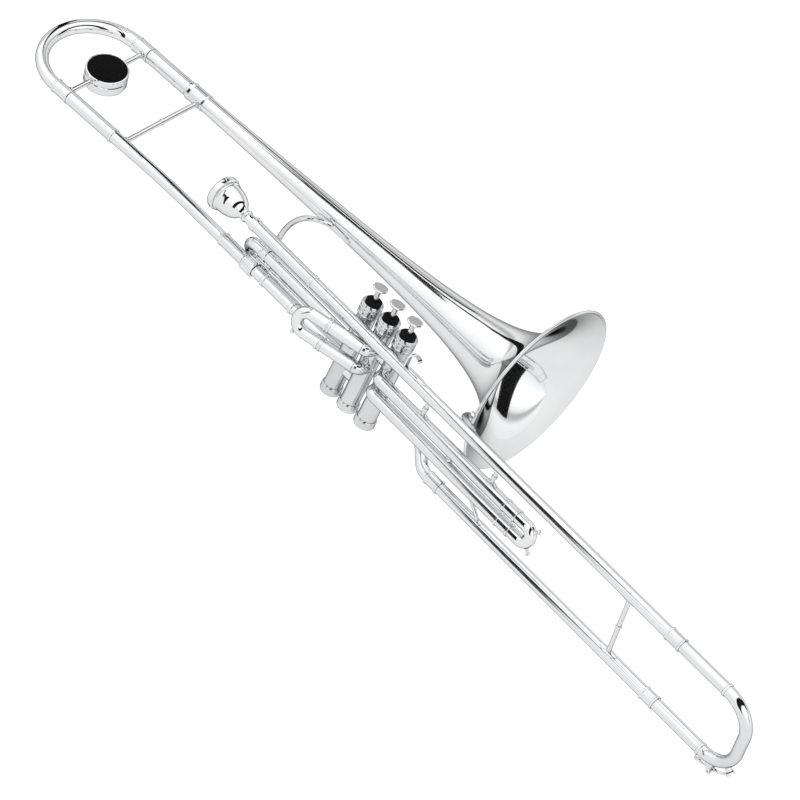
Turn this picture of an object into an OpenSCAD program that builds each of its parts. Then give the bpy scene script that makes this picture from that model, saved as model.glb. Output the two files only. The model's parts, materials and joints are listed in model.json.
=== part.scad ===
// Three-valve valve trombone, silver plated.
// Origin: axis of the second valve at the middle of its casing, where the right hand grips.
// +X runs forward to the bell, +Z up along the valves, +Y to the player's left, towards the bell.

/* [Tubing] */
// Bore of the cylindrical tubing
bore = 12.2; // [12.0:0.1:12.2]
// Wall of a drawn tube
wall = 0.4; // [0.35:0.05:0.4]
// Radial clearance of a slide tube in its sleeve
slide_gap = 0.05; // [0.03:0.01:0.06]

/* [Leadpipe and return tube] */
// Side offset of the leadpipe
lead_y = -17.4; // [-17.6:0.1:-17.2]
// Height of the leadpipe
lead_z = 40.85; // [40.6:0.05:41.0]
// Side offset of the return tube
return_y = 3.57; // [3.4:0.01:3.7]
// Height of the return tube
return_z = -50.13; // [-50.3:0.01:-50.0]
// Station where the end bow starts to turn
bow_x = 520.6; // [515:0.1:525]
// Turning radius of the two halves of the end bow
bow_r = 34.5; // [33:0.1:36]
// Station where the bow legs join the long pipes
leg_x = 446; // [440:1:450]

/* [Valves] */
// Distance between neighbouring valve axes
valve_pitch = 26.2; // [26:0.1:26.4]
// Outside diameter of a valve casing
casing_od = 20.6; // [20.4:0.1:20.8]
// Diameter of a piston
piston_d = 17.3; // [17.2:0.1:17.4]
// Outside diameter of the screwed caps
cap_od = 23.4; // [23.2:0.1:23.6]
// Underside of a finger button at rest
button_z = 80; // [80:0.1:81]
// Diameter of a finger button
button_d = 16.8; // [16:0.1:17.5]
// Travel of a valve
stroke = 15; // [14:0.5:15]

/* [Valve slides] */
// Distance between the tubes of the third slide
third_pitch = 19.3; // [19:0.1:19.6]
// Station of the third slide's bow
third_bow_x = 250.4; // [245:0.1:255]
// Distance between the tubes of the second slide
second_pitch = 24.4; // [24:0.1:24.8]
// Outward angle of the second slide
second_angle = 17.5; // [17:0.5:18]
// Length of the second slide from its elbows to its bow
second_len = 61; // [60:0.5:62]
// Station of the first slide's bow
first_bow_x = -173.5; // [-174:0.5:-172]

/* [Bell section] */
// Radius of the bell's mouth
bell_rim_r = 101.6; // [101:0.1:102]
// Length that sets how fast the flare opens
flare_len = 20; // [19.5:0.5:20.5]
// Exponent of the flare
flare_power = 0.74; // [0.73:0.01:0.75]
// Sheet thickness of the bell
bell_wall = 0.6; // [0.5:0.05:0.7]
// Distance between the neckpipe and the bell's axis
bell_pitch = 116.7; // [116:0.1:117]
// Station of the bell's mouth in the bell section's own frame
rim_x = 422.2; // [418:0.2:424]
// Diameter of the counterweight
weight_d = 47.5; // [46:0.5:48]

/* [Hidden] */
$fn = 48;
SILVER = [0.86, 0.87, 0.88];
BRIGHT = [0.93, 0.94, 0.95];
BLACK = [0.06, 0.06, 0.06];
GREY = [0.55, 0.56, 0.57];
STEEL = [0.6, 0.6, 0.62];

fit = 0.03;
tube_od = bore + 2 * wall;
sleeve_id = tube_od + 2 * slide_gap;
sleeve_od = sleeve_id + 2 * wall;

// Bow plane: it holds the leadpipe and the return tube
bow_mid_y = (lead_y + return_y) / 2;
bow_mid_z = (lead_z + return_z) / 2;
bow_half = norm([lead_y - return_y, lead_z - return_z]) / 2;
bow_lean = atan2(lead_z - return_z, lead_y - return_y);
bow_centre = bow_half - bow_r;

// Mouthpiece stations along the leadpipe's axis
rim_face_x = -238;
cup_floor_x = -207;
cup_seam_x = rim_face_x + 16.5;
cup_seam_r = 16.4;
cup_seam_bore = 10.8;
throat_x = -201.5;
throat_r = 3.2;
shank_mouth_x = -184;
shank_end_x = -150;
receiver_end_x = -87.7;
receiver_od = 13.3;
shank_small_r = 5.2;
shank_big_r = 5.95;

// Valve heights
casing_low = -48;
casing_high = 46.5;
cap_low = -58.5;
cap_floor = -55.8;
top_cap_low = 47;
top_cap_high = 62.4;
felt_top = button_z - stroke - 0.2;
thread_d = 20;
piston_low = -30;
piston_high = 44;
stem_d = 5.6;
outlet_port_z = -10;
return_port_z = 13;
low_knuckle_z = -24;
high_knuckle_z = 20;
spring_seat = 2;
spring_coils = 6;
spring_wire = 1;

// Third slide: upright, straight below the leadpipe
third_y = lead_y;
third_z = 1.55;
third_sleeve_x = 238;

// Stations of the posts between the long pipes
lead_posts = [91.3, 194.2];
slide_post = 141;
front_post = 384;
hook_x = 63;

// First slide: its plane leans away from the hand
first_top = [-3.9, 12.9];
first_low = [11.3, -12.9];
first_half = norm(first_top - first_low) / 2;
first_mid = (first_top + first_low) / 2;
first_lean = atan2(first_top[1] - first_low[1], first_top[0] - first_low[0]);
first_sleeve_x = -167;

// Second slide
second_z = 14.8;
second_elbow_r = 8;
second_x = 3;
second_stub = 2.2;
second_turn = 90 - second_angle;
second_start = [second_x - second_elbow_r * (1 - cos(second_turn)),
                -casing_od / 2 - second_stub - second_elbow_r * sin(second_turn)];
second_sleeve = 44;

// Return elbow: an S that lifts the return tube into the third valve
elbow_x = 117;
elbow_y = 19;
elbow_z = -36.9;
elbow_r = 24;
elbow_turn = 40;
elbow_shift = norm([elbow_y - return_y, elbow_z - return_z]);
elbow_lean = atan2(elbow_z - return_z, elbow_y - return_y);
elbow_run = (elbow_shift - 2 * elbow_r * (1 - cos(elbow_turn))) / sin(elbow_turn);
elbow_back = 2 * elbow_r * sin(elbow_turn) + elbow_run * cos(elbow_turn);
port_r = 8;

// Water key: angles are about the bow's lower turn
spout_angle = -38;
pivot_angle = -71;
spout_r = bow_r + 10.2;
pivot_r = bow_r + 14.8;
key_width = 5;
pin_d = 1.8;
cork_thick = 2.2;
arm_r = spout_r + cork_thick + 0.9;
lug_z = key_width / 2 + 0.9;
lug = 1.5;

// Outlet of the first valve and the joint to the bell section
out_y = -6.8;
out_z = outlet_port_z;
nut_x = [-180, -164];
neck_x = -297.8;
neck_turn = 3.17;
neck_r = 1680;
neck_tangent = 46.5;
neck_side = 208.2;

// Bell section frame, and its stations along the neckpipe and the bell's tail
tilt = [13.53, -1.5, 2.8];
tuning_x = -183;
neck_leg_od = 14;
bell_leg_od = 16.4;
tuning_wall = 0.45;
neck_ring_x = -90.7;
bell_sleeve_x = -94.4;
bell_ferrule_x = -72;
tuning_gap_x = -159.6;
rod_x = -167;
stay_rod_x = -79;
weight_top = 6.4;
weight_lip = 1.8;
badge_deep = 1.2;
tail_d = rim_x - bell_sleeve_x;
flare_seam = 34;
throat_seam = 140;

// ---------- shared shapes ----------

// Lays a solid built along Z down along X
module along_x() { rotate([0, 90, 0]) children(); }

// Straight tube along X
module tube(x0, x1, od, id) {
    translate([x0, 0, 0]) along_x() difference() {
        cylinder(h = x1 - x0, d = od);
        translate([0, 0, -1]) cylinder(h = x1 - x0 + 2, d = id);
    }
}

// Solid turned about X from [radius, x] points
module turned(points) { along_x() rotate_extrude() polygon(points); }

// Soldered ring with a raised band at each end
module ferrule(x0, x1, od, id) {
    band = 0.7;
    turned([[id / 2, x0], [od / 2 + band / 2, x0], [od / 2 + band, x0 + 0.5], [od / 2 + band, x0 + 1.9],
            [od / 2, x0 + 2.4], [od / 2, x1 - 2.4], [od / 2 + band, x1 - 1.9], [od / 2 + band, x1 - 0.5],
            [od / 2 + band / 2, x1], [id / 2, x1]]);
}

// Short raised ring
module collar(x0, x1, od, id) {
    round_off = 0.5;
    turned([[id / 2, x0], [od / 2 - round_off, x0], [od / 2, x0 + round_off], [od / 2, x1 - round_off],
            [od / 2 - round_off, x1], [id / 2, x1]]);
}

// Part of a turn in the XY plane, from angle a0 by a degrees, about the origin
module bend(r, a0, a, od, id) {
    rotate_extrude(angle = a, start = a0) translate([r, 0]) difference() {
        circle(d = od);
        circle(d = id);
    }
}

// Half turn at x = 0 whose ends run towards -X at y = +r and y = -r
module half_bow(r, od, id) { bend(r, -90, 180, od, id); }

// Point on a cubic curve
function cubic(p, t) = pow(1 - t, 3) * p[0] + 3 * t * pow(1 - t, 2) * p[1]
                     + 3 * t * t * (1 - t) * p[2] + pow(t, 3) * p[3];
function unit(v) = v / norm(v);

// Solid rod that follows a list of points, r[i] thick at each, with n sides
module rod_along(path, r, n, up) {
    last = len(path) - 1;
    rings = [for (i = [0:last]) let (
        way = unit(path[min(i + 1, last)] - path[max(i - 1, 0)]),
        side = unit(cross(way, up)),
        lift = cross(side, way))
        for (k = [0:n - 1]) path[i] + r[i] * (cos(360 * k / n) * side + sin(360 * k / n) * lift)];
    walls = [for (i = [0:last - 1], k = [0:n - 1])
        [i * n + k, i * n + (k + 1) % n, (i + 1) * n + (k + 1) % n, (i + 1) * n + k]];
    first_cap = [for (k = [0:n - 1]) n - 1 - k];
    last_cap = [for (k = [0:n - 1]) last * n + k];
    polyhedron(rings, concat(walls, [first_cap, last_cap]));
}

// Hollow pipe that follows a list of points, r[i] outside and r[i] - thick inside, with n sides
module pipe_along(path, r, thick, n, up) {
    last = len(path) - 1;
    inner = (last + 1) * n;
    rings = [for (cut = [0, thick], i = [0:last]) let (
        way = unit(path[min(i + 1, last)] - path[max(i - 1, 0)]),
        side = unit(cross(way, up)),
        lift = cross(side, way))
        for (k = [0:n - 1]) path[i] + (r[i] - cut) * (cos(360 * k / n) * side + sin(360 * k / n) * lift)];
    outer_walls = [for (i = [0:last - 1], k = [0:n - 1]) let (m = (k + 1) % n)
        [i * n + k, i * n + m, (i + 1) * n + m, (i + 1) * n + k]];
    inner_walls = [for (i = [0:last - 1], k = [0:n - 1]) let (m = (k + 1) % n)
        [inner + (i + 1) * n + k, inner + (i + 1) * n + m, inner + i * n + m, inner + i * n + k]];
    first_end = [for (k = [0:n - 1]) let (m = (k + 1) % n) [m, k, inner + k, inner + m]];
    last_end = [for (k = [0:n - 1]) let (m = (k + 1) % n, e = last * n)
        [e + k, e + m, inner + e + m, inner + e + k]];
    polyhedron(rings, concat(outer_walls, inner_walls, first_end, last_end));
}

// Soldered foot on a tube along X: a curved oval plate on its +Y side
module foot(r, length, width) {
    plate = 1.1;
    oval = [for (k = [0:23]) [length / 2 * cos(15 * k), width / 2 * sin(15 * k)]];
    intersection() {
        tube(-length, length, 2 * (r + plate), 2 * (r + fit));
        rotate([-90, 0, 0]) linear_extrude(r + 3) polygon(oval);
    }
}

// Post with a foot at each end between two tubes along X, a gap apart centre to centre along +Y
module brace(gap, r_near, r_far, d, foot_len) {
    foot_w = 9;
    seat = 0.6;
    foot(r_near, foot_len, foot_w);
    translate([0, gap, 0]) mirror([0, 1, 0]) foot(r_far, foot_len, foot_w);
    bead = 2.2;
    translate([0, r_near + seat, 0]) rotate([-90, 0, 0])
        cylinder(h = gap - r_near - r_far - 2 * seat, d = d);
    translate([0, (gap + r_near - r_far - bead) / 2, 0]) rotate([-90, 0, 0]) cylinder(h = bead, d = d + 2);
}

// Places a child at [y, z] with its +Y pointing to the point [y, z] given as aim
module facing(from, aim) {
    translate([0, from[0], from[1]]) rotate([atan2(aim[1] - from[1], aim[0] - from[0]), 0, 0]) children();
}

module at_lead() { translate([0, lead_y, lead_z]) children(); }
module at_return() { translate([0, return_y, return_z]) children(); }
module at_valve(i) { translate([(i - 2) * valve_pitch, 0, 0]) children(); }
module bow_frame() { translate([0, bow_mid_y, bow_mid_z]) rotate([bow_lean, 0, 0]) children(); }
module bell_frame() { translate([neck_x, out_y, out_z]) rotate(tilt) children(); }
module on_bell_line() { bell_frame() translate([0, bell_pitch, 0]) children(); }

// ---------- mouthpiece and leadpipe ----------

// Rim with its bead, and the wide part of the cup
module mouthpiece_crown() {
    rim_round = 5.6;
    rim_out = 19.5;
    crown = rim_out - rim_round;
    land = 3;
    outside = [[cup_seam_r, cup_seam_x], [16.7, cup_floor_x - 17.5], [17.7, cup_floor_x - 18.3],
               [17.9, cup_floor_x - 19.4], [17.6, cup_floor_x - 20.6], [16.9, cup_floor_x - 21.2],
               [rim_out - 0.8, rim_face_x + rim_round + land + 0.6], [rim_out, rim_face_x + rim_round + land]];
    rim = [for (a = [0:15:90]) [crown + rim_round * cos(a), rim_face_x + rim_round * (1 - sin(a))]];
    inside = [[12.75, rim_face_x + 1.4], [12.4, rim_face_x + 8], [cup_seam_bore, cup_seam_x]];
    color(BRIGHT) at_lead() turned(concat(outside, rim, inside));
}

// Round bottom of the cup, down to the throat
module mouthpiece_bowl() {
    color(BRIGHT) at_lead()
        turned([[throat_r, throat_x], [8, throat_x], [11.4, cup_floor_x + 2], [14, cup_floor_x - 3],
                [15.6, cup_floor_x - 8.5], [cup_seam_r, cup_seam_x], [cup_seam_bore, cup_seam_x],
                [8, rim_face_x + 24], [4.6, rim_face_x + 29.5], [throat_r, rim_face_x + 32.5]]);
}

// Neck with its bead, and the tapered shank
module mouthpiece_shank() {
    color(BRIGHT) at_lead()
        turned([[shank_small_r, shank_end_x], [shank_big_r, shank_mouth_x], [5.5, shank_mouth_x - 5],
                [5.6, shank_mouth_x - 8], [6.6, shank_mouth_x - 8.6], [7, shank_mouth_x - 9.8],
                [6.6, shank_mouth_x - 11], [5.9, shank_mouth_x - 11.8], [6.1, throat_x + 3],
                [8, throat_x], [throat_r, throat_x], [4.4, shank_end_x]]);
}

module mouthpiece_receiver() {
    taper_gap = 0.05;
    id = bore + 2 * fit;
    r = receiver_od / 2;
    color(SILVER) at_lead()
        turned([[shank_big_r + taper_gap, shank_mouth_x], [r + 0.6, shank_mouth_x],
                [r + 0.9, shank_mouth_x + 1], [r + 0.9, shank_mouth_x + 5], [r, shank_mouth_x + 6],
                [r, receiver_end_x - 5], [r + 0.6, receiver_end_x - 4.5], [r + 0.6, receiver_end_x - 0.5],
                [r, receiver_end_x], [id / 2, receiver_end_x], [id / 2, shank_end_x + 1],
                [shank_small_r + taper_gap, shank_end_x + 1]]);
}

module leadpipe() {
    inner = bore - 1;
    color(SILVER) at_lead() {
        turned([[inner / 2, shank_end_x + 1.5], [bore / 2, shank_end_x + 1.5],
                [bore / 2, receiver_end_x + fit],
                [tube_od / 2, receiver_end_x + fit], [tube_od / 2, leg_x], [bore / 2, leg_x],
                [bore / 2, receiver_end_x + 20], [inner / 2, receiver_end_x]]);
    }
}

module pipe_ferrules() {
    id = tube_od + 2 * fit;
    od = id + 1.2;
    color(SILVER) {
        at_lead() ferrule(437, 456.5, od, id);
        at_lead() collar(bow_x - 4, bow_x - 1, od + 0.6, id);
        at_return() ferrule(437, 454, od, id);
        at_return() collar(bow_x - 4, bow_x - 1, od + 0.6, id);
        at_return() ferrule(elbow_x + 1, elbow_x + 19, od, id);
    }
}

// Two legs, two quarter turns and the straight piece between them
module end_bow() {
    color(SILVER) bow_frame() for (side = [0, 1]) mirror([0, side, 0]) {
        translate([0, bow_half, 0]) tube(leg_x + fit, bow_x, tube_od, bore);
        translate([bow_x, bow_centre, 0]) bend(bow_r, 0, 90, tube_od, bore);
        translate([bow_x + bow_r, 0, 0]) rotate([0, 0, 90]) tube(0, bow_centre, tube_od, bore);
    }
}

module return_tube() { color(SILVER) at_return() tube(elbow_x + 10, leg_x, tube_od, bore); }

// S bend, a straight run beside the casing, and a tight turn into the third valve
module return_elbow() {
    end_x = elbow_x - elbow_back;
    turn_x = valve_pitch + port_r;
    rise = concat([[elbow_x + 10 - fit, 0], [elbow_x, 0]],
        [for (a = [8:8:elbow_turn]) [elbow_x - elbow_r * sin(a), elbow_r * (1 - cos(a))]],
        [for (a = [elbow_turn:-8:0]) [end_x + elbow_r * sin(a), elbow_shift - elbow_r * (1 - cos(a))]]);
    path = concat(
        [for (p = rise) [p[0], return_y + p[1] * cos(elbow_lean), return_z + p[1] * sin(elbow_lean)]],
        [for (a = [0:15:90]) [turn_x - port_r * sin(a), elbow_y - port_r * (1 - cos(a)), elbow_z]],
        [[valve_pitch, 5, elbow_z]]);
    color(SILVER) difference() {
        pipe_along(path, [for (p = path) tube_od / 2], wall, 28, [0, 0, 1]);
        at_valve(3) translate([0, 0, casing_low])
            cylinder(h = casing_high - casing_low, d = casing_od + 2 * fit);
    }
}

// ---------- water key on the lower turn of the end bow ----------

// Frame at the centre of the bow's lower turn, in the bow plane
module key_frame() { bow_frame() translate([bow_x, -bow_centre, 0]) children(); }

module water_key_spout() {
    color(SILVER) key_frame() rotate([0, 0, spout_angle]) translate([bow_r, 0, 0]) difference() {
        tube(0, spout_r - bow_r, 6.4, 4);
        rotate([0, 0, -spout_angle])
            translate([-bow_r * cos(spout_angle), -bow_r * sin(spout_angle), 0])
                rotate_extrude(angle = 60, start = spout_angle - 30)
                    translate([bow_r, 0]) circle(d = tube_od + fit);
    }
}

module water_key_cork() {
    color(BLACK) key_frame() rotate([0, 0, spout_angle]) tube(spout_r, spout_r + cork_thick, 6.8, 0.8);
}

// Cup over the cork, arm round the bow, hinge barrel, and the touch for the finger
module water_key_lever() {
    touch_len = 13;
    reach = 17;
    color(BRIGHT) key_frame() difference() {
        union() {
            rotate([0, 0, spout_angle]) {
                tube(arm_r - 0.9, arm_r + 0.9, 8.6, 0.01);
                difference() {
                    tube(arm_r - 2.2, arm_r, 8.6, 6.9);
                    tube(arm_r - 2.3, arm_r - 0.9, 6.9, 0.01);
                }
            }
            rotate_extrude(angle = pivot_angle - spout_angle, start = spout_angle)
                translate([arm_r - 0.8, -key_width / 2 + 0.7]) square([1.8, key_width - 1.4]);
            rotate([0, 0, pivot_angle]) translate([pivot_r, 0, -key_width / 2])
                cylinder(h = key_width, d = 4.6);
            rotate([0, 0, pivot_angle]) translate([pivot_r, 0, 0]) rotate([0, 0, -107]) {
                translate([0, -1, -key_width / 2 + 0.7]) cube([reach, 1.8, key_width - 1.4]);
                translate([reach, 0.8, 0]) rotate([90, 0, 0]) cylinder(h = 1.8, d = 8.4);
                translate([reach - touch_len / 2, -1, -3.1]) cube([touch_len / 2, 1.8, 6.2]);
            }
        }
        rotate([0, 0, pivot_angle]) translate([pivot_r, 0, -key_width])
            cylinder(h = 2 * key_width, d = pin_d + 0.1);
    }
}

module water_key_pin() {
    head = 1;
    low = -lug_z - lug - head - fit;
    color(STEEL) key_frame() rotate([0, 0, pivot_angle]) translate([pivot_r, 0, low]) {
        cylinder(h = lug_z + lug + 0.6 - low, d = pin_d);
        cylinder(h = head, d = pin_d + 1);
    }
}

// Two lugs standing on a foot that follows the tube
module water_key_saddle() {
    color(SILVER) key_frame() rotate([0, 0, pivot_angle]) difference() {
        union() {
            for (side = [-1, 1]) translate([0, 0, side * (lug_z + lug / 2)]) {
                translate([pivot_r, 0, -lug / 2]) cylinder(h = lug, d = 4.6);
                translate([bow_r, -2.3, -lug / 2]) cube([pivot_r - bow_r, 4.6, lug]);
            }
            translate([bow_r, -3.6, -lug_z - lug]) cube([8, 7.2, 2 * (lug_z + lug)]);
        }
        rotate_extrude(angle = 60, start = -30) translate([bow_r, 0]) circle(d = tube_od + 2 * fit);
        translate([pivot_r, 0, -10]) cylinder(h = 20, d = pin_d + 0.04);
        translate([pivot_r - 3.6, -10, -lug_z + 0.2]) cube([20, 20, 2 * lug_z - 0.4]);
    }
}

// Wire spring: one coil on each side of the lever's barrel
module water_key_spring() {
    wire = 0.8;
    color(STEEL) key_frame() rotate([0, 0, pivot_angle]) translate([pivot_r, 0, 0])
        for (side = [-1, 1]) translate([0, 0, side * (key_width / 2 + 0.45)])
            rotate_extrude() translate([2.9, 0]) circle(d = wire);
}

// ---------- valves ----------

// Round hole through one casing wall along X (way = 1 forward, -1 backward)
module port(y, z, way) {
    translate([0, y, z]) rotate([0, 90 * way, 0]) cylinder(h = casing_od, d = bore);
}

module casing_blank() {
    color(SILVER) difference() {
        union() {
            translate([0, 0, casing_low]) cylinder(h = casing_high - casing_low, d = casing_od);
            translate([0, 0, casing_low - 6]) cylinder(h = 7, d = thread_d);
            translate([0, 0, casing_high - 1]) cylinder(h = 11, d = thread_d);
        }
        translate([0, 0, casing_low - 10]) cylinder(h = 130, d = piston_d + 0.08);
        children();
    }
}

module valve_casing_1() {
    at_valve(1) casing_blank() {
        port(0, out_z, -1);
        port(0, return_port_z, -1);
        port(0, low_knuckle_z, 1);
    }
}

module valve_casing_2() {
    at_valve(2) casing_blank() {
        port(0, low_knuckle_z, -1);
        port(0, high_knuckle_z, 1);
        for (side = [-1, 1]) translate([second_x, 0, second_z + side * second_pitch / 2])
            rotate([90, 0, 0]) cylinder(h = casing_od, d = bore);
    }
}

module valve_casing_3() {
    at_valve(3) casing_blank() {
        port(0, high_knuckle_z, -1);
        translate([0, 0, elbow_z]) rotate([-90, 0, 0]) cylinder(h = casing_od, d = bore);
        for (side = [-1, 1]) translate([0, 0, third_z + side * third_pitch / 2])
            rotate([90, 0, 0]) cylinder(h = casing_od, d = bore);
    }
}

// Short tubes that join neighbouring casings
module valve_knuckles() {
    color(SILVER) for (i = [0, 1])
        translate([(i - 1) * valve_pitch, 0, i == 0 ? low_knuckle_z : high_knuckle_z]) difference() {
            tube(2, valve_pitch - 2, tube_od, bore);
            for (x = [0, valve_pitch]) translate([x, 0, -20]) cylinder(h = 40, d = casing_od + 2 * fit);
        }
}

// Ribbed cap with the stem's hole; three rounded ribs near its top and one at its foot
module top_cap() {
    r = cap_od / 2;
    hole = stem_d / 2 + 0.6;
    skirt = thread_d / 2 + fit;
    groove = 0.5;
    rotate_extrude() polygon([
        [skirt, top_cap_low], [r - groove, top_cap_low], [r, top_cap_low + 0.7], [r, top_cap_low + 2.4],
        [r - groove, top_cap_low + 3], [r, top_cap_low + 3.6], [r, top_cap_low + 8.6],
        [r - groove, top_cap_low + 9.3], [r, top_cap_low + 10], [r, top_cap_low + 12.6],
        [r - groove, top_cap_low + 13.3], [r - 0.1, top_cap_low + 14], [r - 0.8, top_cap_high],
        [hole, top_cap_high], [hole, top_cap_high - 4.5], [skirt, top_cap_high - 4.5]]);
}

module top_caps() { color(SILVER) for (i = [1:3]) at_valve(i) top_cap(); }

module bottom_cap() {
    r = cap_od / 2;
    skirt = thread_d / 2 + fit;
    vent = 2;
    rotate_extrude() polygon([
        [vent, cap_low], [r - 2.4, cap_low], [r - 0.7, cap_low + 0.8], [r, cap_low + 2.2],
        [r, casing_low - 1.4], [r - 0.6, casing_low - fit], [skirt, casing_low - fit],
        [skirt, cap_floor], [vent, cap_floor]]);
}

module bottom_caps() { color(SILVER) for (i = [1:3]) at_valve(i) bottom_cap(); }

module felts() {
    color(BLACK) for (i = [1:3]) at_valve(i) translate([0, 0, top_cap_high]) difference() {
        cylinder(h = felt_top - top_cap_high, d = 17.2);
        translate([0, 0, -1]) cylinder(h = 5, d = stem_d + 0.8);
    }
}

// Piston with its cross passages and its stem
module piston() {
    color(STEEL) difference() {
        union() {
            translate([0, 0, piston_low]) cylinder(h = piston_high - piston_low, d = piston_d);
            translate([0, 0, piston_high]) cylinder(h = button_z - piston_high, d = stem_d);
        }
        for (hole = [[-20, 30], [4, 0], [24, 65]]) translate([0, 0, hole[0]])
            rotate([90, 0, hole[1]]) cylinder(h = 2 * piston_d, d = 11, center = true);
        translate([0, 0, piston_low - 1]) cylinder(h = 1 + spring_seat, d = 13.6);
    }
}

module piston_1() { at_valve(1) piston(); }
module piston_2() { at_valve(2) piston(); }
module piston_3() { at_valve(3) piston(); }

// Button: a shallow dish that holds the inlay
module finger_button() {
    r = button_d / 2;
    recess = button_d / 2 - 1.5;
    color(BRIGHT) rotate_extrude() polygon([
        [0, button_z], [r - 1.4, button_z], [r - 0.3, button_z + 0.6], [r, button_z + 1.3],
        [r - 0.2, button_z + 2.1], [r - 0.8, button_z + 2.5], [recess, button_z + 2.4],
        [recess, button_z + 1], [0, button_z + 1]]);
}

module finger_button_1() { at_valve(1) finger_button(); }
module finger_button_2() { at_valve(2) finger_button(); }
module finger_button_3() { at_valve(3) finger_button(); }

module button_inlay() {
    r = button_d / 2 - 1.5 - fit;
    color(GREY) rotate_extrude() polygon([
        [0, button_z + 1], [r, button_z + 1], [r, button_z + 2.2], [r * 0.6, button_z + 2],
        [0, button_z + 1.9]]);
}

module button_inlay_1() { at_valve(1) button_inlay(); }
module button_inlay_2() { at_valve(2) button_inlay(); }
module button_inlay_3() { at_valve(3) button_inlay(); }

// Helical spring between the bottom cap and the piston
module valve_spring() {
    coil_r = 6;
    steps = 12 * spring_coils;
    low = cap_floor + spring_wire / 2;
    rise = piston_low + spring_seat - spring_wire / 2 - low;
    path = [for (i = [0:steps]) [coil_r * cos(30 * i), coil_r * sin(30 * i), low + rise * i / steps]];
    color(STEEL) rod_along(path, [for (p = path) spring_wire / 2], 6, [0, 0, 1]);
}

module valve_spring_1() { at_valve(1) valve_spring(); }
module valve_spring_2() { at_valve(2) valve_spring(); }
module valve_spring_3() { at_valve(3) valve_spring(); }

// ---------- valve slides ----------

module first_slide_tubes() {
    color(SILVER) difference() {
        for (p = [first_top, first_low]) translate([0, p[0], p[1]]) {
            tube(first_sleeve_x, -valve_pitch, sleeve_od, sleeve_id);
            ferrule(first_sleeve_x, first_sleeve_x + 9, sleeve_od + 2 * fit + 0.6, sleeve_od + 2 * fit);
        }
        at_valve(1) translate([0, 0, -40]) cylinder(h = 80, d = casing_od + 2 * fit);
    }
}

module first_slide() {
    leg_end = -62;
    color(BRIGHT) translate([0, first_mid[0], first_mid[1]]) rotate([first_lean, 0, 0]) {
        for (side = [-1, 1]) translate([0, side * first_half, 0]) tube(first_bow_x, leg_end, tube_od, bore);
        translate([first_bow_x, 0, 0]) mirror([1, 0, 0]) half_bow(first_half, tube_od, bore);
    }
}

// Frame of the second slide: +X runs out along its tubes, +Y up
module second_frame() {
    translate([second_start[0], second_start[1], second_z])
        rotate([0, 0, 180 + second_angle]) rotate([90, 0, 0]) children();
}

// Elbows out of the second casing and the outer tubes
module second_slide_tubes() {
    pivot = [second_x - second_elbow_r, -casing_od / 2 - second_stub];
    path = concat([[second_x, -2, 0]],
        [for (k = [0:8]) let (a = second_turn * k / 8)
            [pivot[0] + second_elbow_r * cos(a), pivot[1] - second_elbow_r * sin(a), 0]]);
    color(SILVER) {
        second_frame() for (side = [-1, 1]) translate([0, side * second_pitch / 2, 0]) {
            tube(fit, second_sleeve, sleeve_od, sleeve_id);
            ferrule(second_sleeve - 6, second_sleeve, sleeve_od + 2 * fit + 0.6, sleeve_od + 2 * fit);
        }
        difference() {
            for (side = [-1, 1]) translate([0, 0, second_z + side * second_pitch / 2])
                pipe_along(path, [for (p = path) sleeve_od / 2], wall, 28, [0, 0, 1]);
            translate([0, 0, -40]) cylinder(h = 90, d = casing_od + 2 * fit);
        }
    }
}

module second_slide() {
    leg_start = 8;
    color(BRIGHT) second_frame() {
        for (side = [-1, 1]) translate([0, side * second_pitch / 2, 0])
            tube(leg_start, second_len, tube_od, bore);
        translate([second_len, 0, 0]) half_bow(second_pitch / 2, tube_od, bore);
    }
}

module second_slide_knob() {
    r = second_pitch / 2 + tube_od / 2;
    color(BRIGHT) second_frame() translate([second_len, 0, 0]) rotate([0, 0, -58])
        turned([[0, r + fit], [1.6, r + fit], [1.3, r + 1.4], [2.2, r + 2.2], [2.7, r + 3.4], [2.2, r + 4.6],
                [0, r + 5.2]]);
}

// Outer tubes with their elbows into the third casing's near side
module third_slide_tubes() {
    far_x = third_sleeve_x;
    turn_y = -casing_od / 2;
    turn_r = -(third_y - turn_y);
    near_x = valve_pitch + turn_r;
    color(SILVER) difference() {
        for (side = [-1, 1]) translate([0, 0, third_z + side * third_pitch / 2]) {
            translate([0, third_y, 0]) {
                tube(near_x, far_x, sleeve_od, sleeve_id);
                collar(far_x - 19, far_x - 16, sleeve_od + 1.6, sleeve_od + 2 * fit);
                collar(far_x - 3, far_x, sleeve_od + 1.4, sleeve_od + 2 * fit);
            }
            translate([near_x, turn_y, 0]) bend(turn_r, 180, 90, sleeve_od, sleeve_id);
            translate([valve_pitch, turn_y, 0]) rotate([0, 0, 90]) tube(0, 8, sleeve_od, sleeve_id);
        }
        at_valve(3) translate([0, 0, -40]) cylinder(h = 90, d = casing_od + 2 * fit);
    }
}

// Frame of the third slide: +X forward, +Y up
module third_frame() { translate([0, third_y, third_z]) rotate([90, 0, 0]) children(); }

module third_slide() {
    leg_start = 120;
    color(BRIGHT) third_frame() {
        for (side = [-1, 1]) translate([0, side * third_pitch / 2, 0])
            tube(leg_start, third_bow_x, tube_od, bore);
        translate([third_bow_x, 0, 0]) half_bow(third_pitch / 2, tube_od, bore);
    }
}

module third_slide_nubs() {
    r = third_pitch / 2 + tube_od / 2;
    color(BRIGHT) third_frame() translate([third_bow_x, 0, 0]) for (side = [-1, 1]) rotate([0, 0, side * 43])
        turned([[0, r + fit], [2.4, r + fit], [1.7, r + 1.6], [1.8, r + 4], [2.5, r + 5], [2.5, r + 6.4],
                [1.8, r + 7.2], [0, r + 7.4]]);
}

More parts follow.
